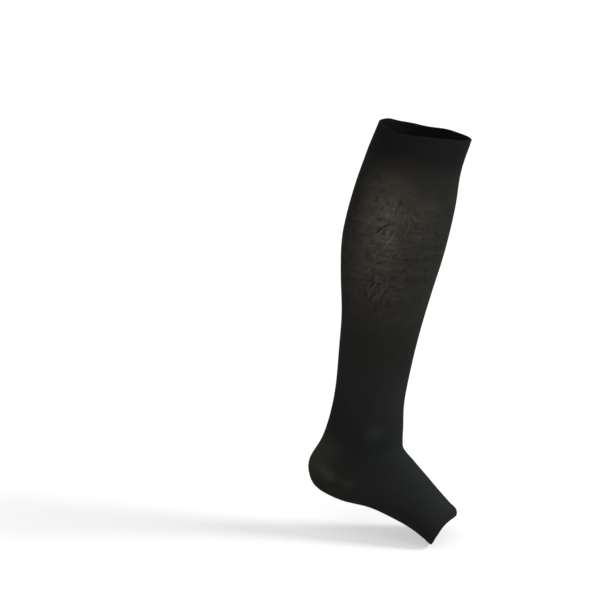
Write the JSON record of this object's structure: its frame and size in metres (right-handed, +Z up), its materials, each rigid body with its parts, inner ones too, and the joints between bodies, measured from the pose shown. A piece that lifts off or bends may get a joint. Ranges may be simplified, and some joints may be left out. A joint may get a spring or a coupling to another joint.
{
  "type": "compression stocking",
  "caption": "Knee-high compression stocking with a doubled top band, a knitted-in heel and an open toe, hollow and in the form it has when worn, heel raised.",
  "frame": {"origin": "centre of the top opening, where the leg holds the stocking up", "axes": "+Z up, +X towards the toes, +Y towards the outer side of a left leg or the inner side of a right one"},
  "size_m": [0.1783, 0.1112, 0.4677],
  "materials": {
    "band_knit": "matte black doubled knit",
    "stretch_knit": "matte black stretch knit, a little sheer and warmer where it is stretched over the calf",
    "hem_knit": "matte black turned hem"
  },
  "bodies": {
    "root": {"top_band": "band_knit", "knit_tube": "stretch_knit", "toe_band": "hem_knit"}
  },
  "joints": []
}
